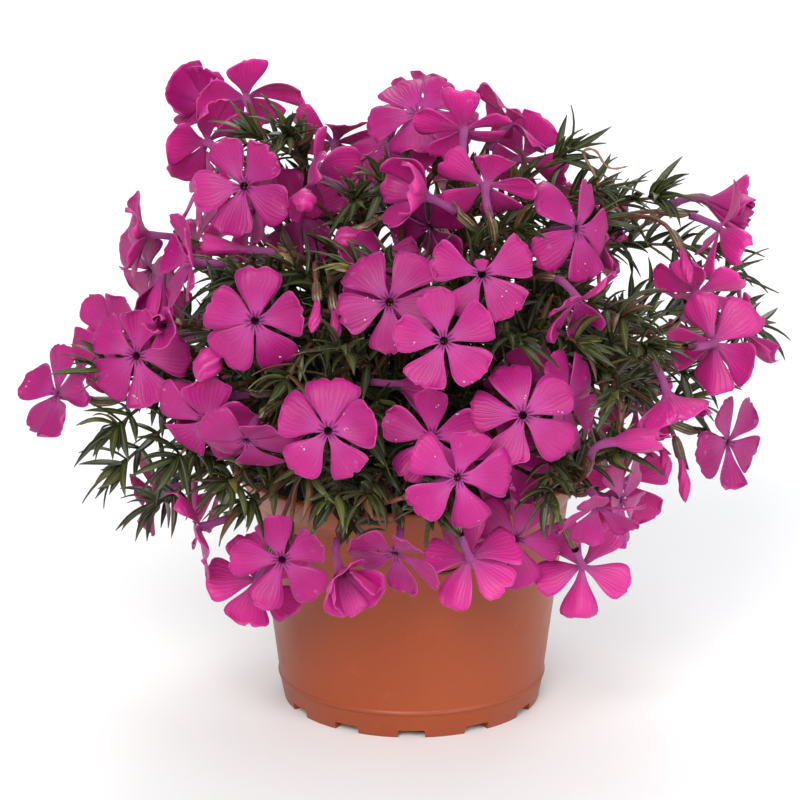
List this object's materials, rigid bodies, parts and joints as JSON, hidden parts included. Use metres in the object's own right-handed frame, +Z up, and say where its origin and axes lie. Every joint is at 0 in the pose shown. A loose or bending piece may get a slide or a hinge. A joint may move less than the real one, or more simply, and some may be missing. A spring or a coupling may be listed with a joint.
{
  "type": "phlox plant",
  "caption": "Potted creeping phlox in full bloom: a dome of notched magenta flowers and needle leaves on thin stems, in a round plastic nursery pot with a flared collar and small feet",
  "frame": {"origin": "on the ground at the pot's axis, which is the middle of the whole plant seen from above", "axes": "x to the right and the widest way, y away from the front of the plant, z up"},
  "size_m": [0.2064, 0.1877, 0.1806],
  "materials": {
    "pot": "smooth moulded plastic with a soft sheen, terracotta",
    "soil": "dark crumbly potting soil",
    "phlox": "magenta petals, dark green needle leaves and red-brown stalks"
  },
  "bodies": {
    "root": {"pot": "pot", "soil": "soil", "flowering_stem_01": "phlox", "flowering_stem_02": "phlox", "flowering_stem_03": "phlox", "flowering_stem_04": "phlox", "flowering_stem_05": "phlox", "flowering_stem_06": "phlox", "flowering_stem_07": "phlox", "flowering_stem_08": "phlox", "flowering_stem_09": "phlox", "flowering_stem_10": "phlox", "flowering_stem_11": "phlox", "flowering_stem_12": "phlox", "flowering_stem_13": "phlox", "flowering_stem_14": "phlox", "flowering_stem_15": "phlox", "flowering_stem_16": "phlox", "flowering_stem_17": "phlox", "flowering_stem_18": "phlox", "flowering_stem_19": "phlox", "flowering_stem_20": "phlox", "flowering_stem_21": "phlox", "flowering_stem_22": "phlox", "flowering_stem_23": "phlox", "flowering_stem_24": "phlox", "flowering_stem_25": "phlox", "flowering_stem_26": "phlox", "flowering_stem_27": "phlox", "flowering_stem_28": "phlox", "flowering_stem_29": "phlox", "flowering_stem_30": "phlox", "flowering_stem_31": "phlox", "flowering_stem_32": "phlox", "flowering_stem_33": "phlox", "flowering_stem_34": "phlox"}
  },
  "joints": []
}
